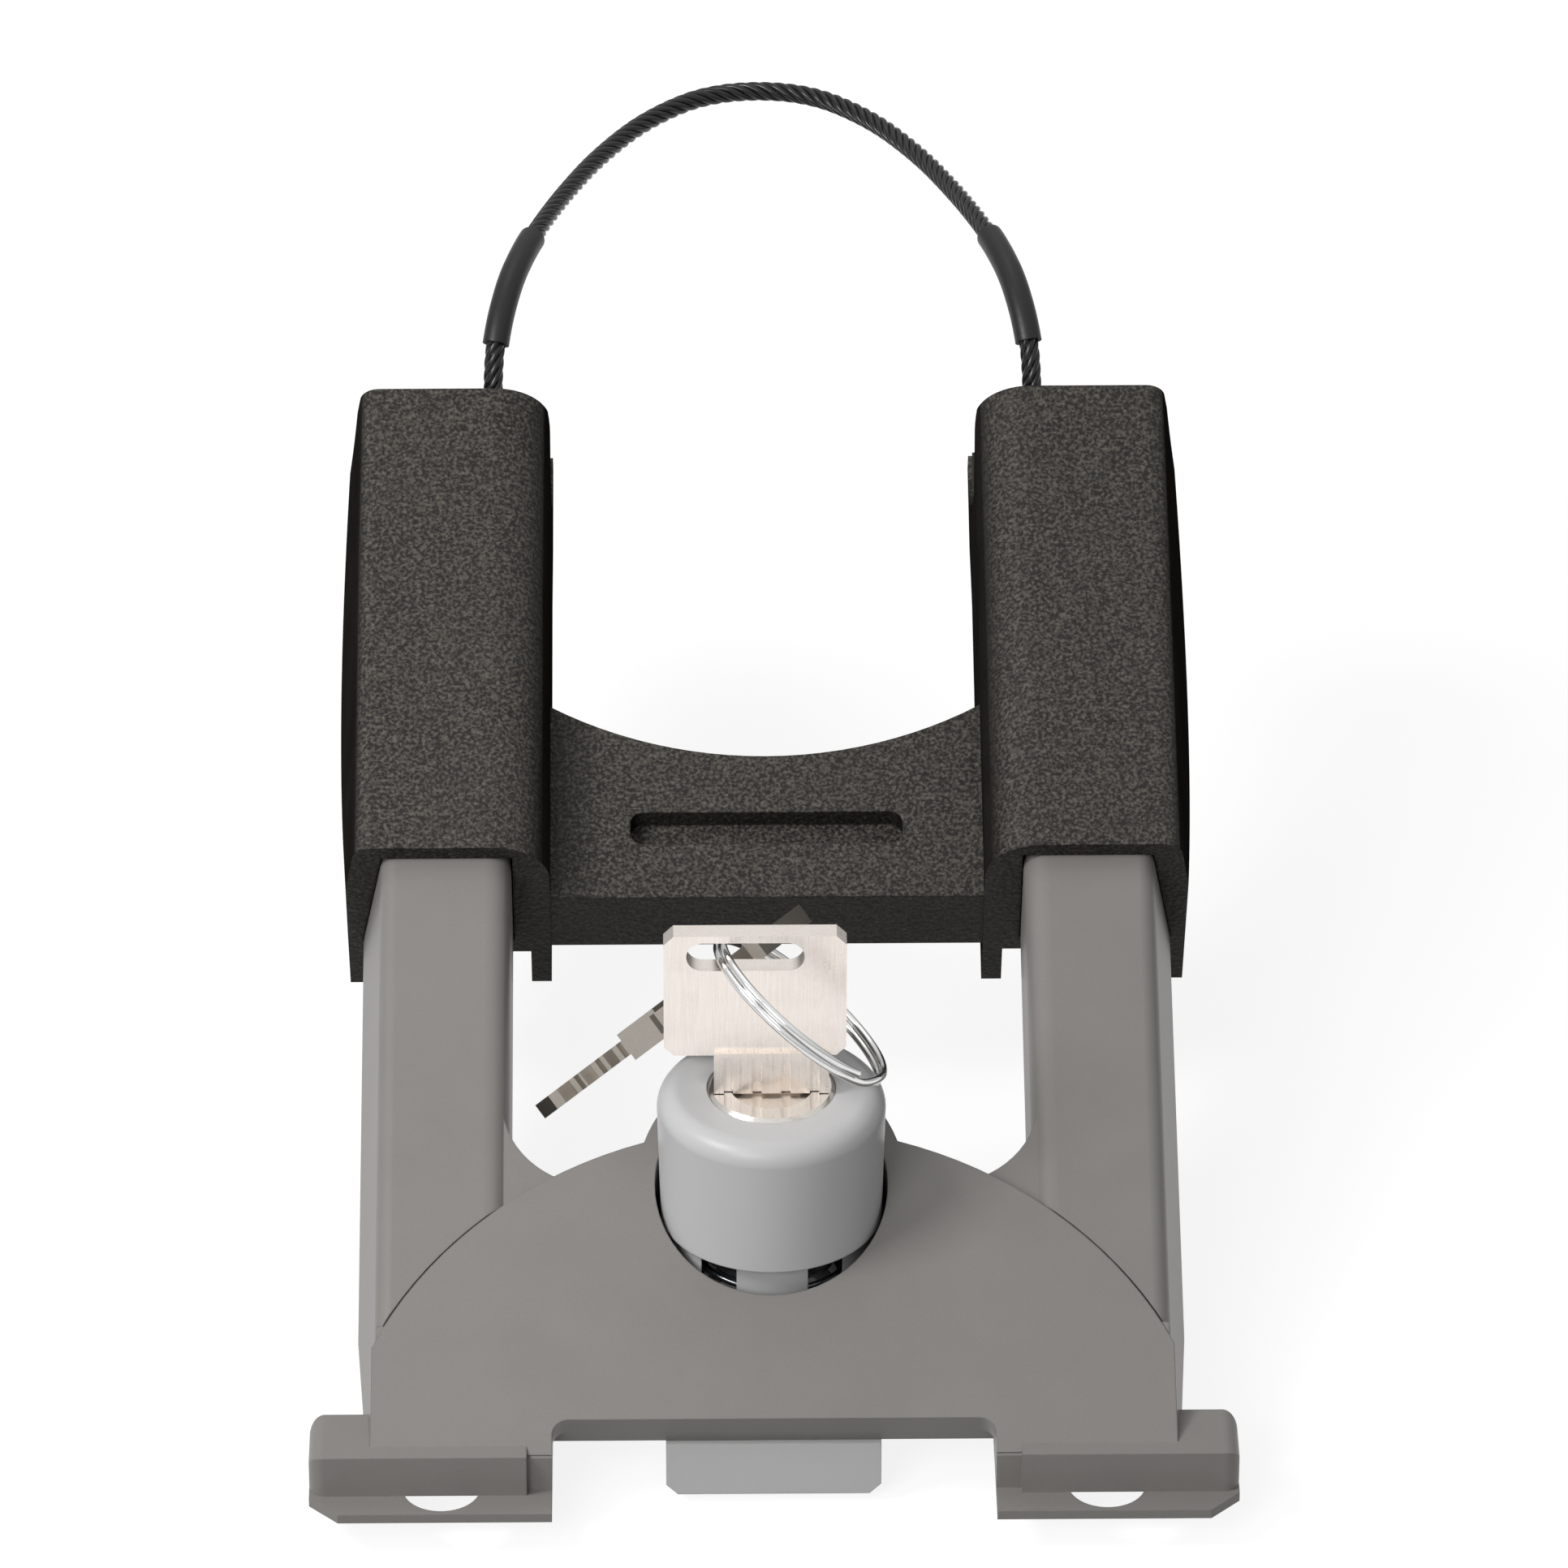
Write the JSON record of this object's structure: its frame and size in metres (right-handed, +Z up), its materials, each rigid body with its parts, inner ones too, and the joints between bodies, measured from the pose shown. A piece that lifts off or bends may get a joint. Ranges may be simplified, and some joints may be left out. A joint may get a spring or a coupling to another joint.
{
  "type": "bag mount",
  "caption": "Lockable push-button bag mount with two arms, an extension frame, saddles and a cable loop that ties it to a round bar.",
  "frame": {"origin": "middle of the clamped bar's axis, halfway between the two saddles", "axes": "+X along the bar to the right as seen from the front, -Y to the front where the bag hangs, +Z up"},
  "size_m": [0.111, 0.205, 0.0901],
  "materials": {
    "frame_black": "fine-grained glass-filled plastic",
    "bracket_grey": "satin moulded plastic",
    "button_grey": "satin moulded plastic",
    "latch_grey": "satin moulded plastic",
    "pad_rubber": "moulded rubber",
    "cable_coat": "plastic-coated braided wire rope",
    "guard_tube": "extruded tube",
    "bolt_steel": "zinc-plated",
    "ferrule_steel": "turned",
    "barrel_chrome": "plated, bright rim",
    "plug_nickel": "brushed nickel plate",
    "cam_steel": "stamped",
    "spring_steel": "drawn wire",
    "plate_plastic": "moulded plastic",
    "key_nickel": "nickel-plated, stamped",
    "ring_chrome": "plated wire"
  },
  "bodies": {
    "bracket": {"bracket_body": "bracket_grey", "extension_frame": "frame_black", "saddle_pad_right": "pad_rubber", "saddle_pad_left": "pad_rubber", "cable_loop": "cable_coat", "cable_guard_right": "guard_tube", "cable_guard_left": "guard_tube", "cable_tail_right": "cable_coat", "cable_tail_left": "cable_coat", "cable_ferrule_right": "ferrule_steel", "cable_ferrule_left": "ferrule_steel", "tension_bolt_right": "bolt_steel", "tension_bolt_left": "bolt_steel", "arm_screw_right": "bolt_steel", "arm_screw_left": "bolt_steel", "spring_plate": "plate_plastic", "return_spring": "spring_steel"},
    "button": {"release_button": "button_grey", "lock_barrel": "barrel_chrome", "barrel_clip": "cam_steel", "latch_slider": "latch_grey"},
    "plug": {"lock_plug": "plug_nickel", "lock_cam": "cam_steel", "cam_screw": "bolt_steel"},
    "key": {"key": "key_nickel"},
    "ring": {"key_ring": "ring_chrome"},
    "spare": {"spare_key": "key_nickel"}
  },
  "joints": [
    {"name": "button_press", "type": "slide", "parent": "bracket", "child": "button", "axis": [0, 0, -1], "range_m": [0, 0.0045], "stiffness_N_per_m": 1500, "springref_m": -0.004, "deforming": ["return_spring"]},
    {"name": "plug_turn", "type": "hinge", "parent": "button", "child": "plug", "pos_m": [0, -0.1214, -0.0284], "axis": [0, 0, 1], "range_deg": [0, 90]},
    {"name": "key_withdraw", "type": "slide", "parent": "plug", "child": "key", "axis": [0, 0, 1], "range_m": [0, 0.02]},
    {"name": "ring_turn", "type": "hinge", "parent": "key", "child": "ring", "pos_m": [0.0035, -0.1214, -0.0172], "axis": [0.6442, 0.1923, 0.7403], "range_deg": [-6, 6]},
    {"name": "spare_swing", "type": "hinge", "parent": "ring", "child": "spare", "pos_m": [-0.00145, -0.10989, -0.01589], "axis": [-0.6564, -0.3577, 0.6642], "range_deg": [-6, 6]}
  ]
}
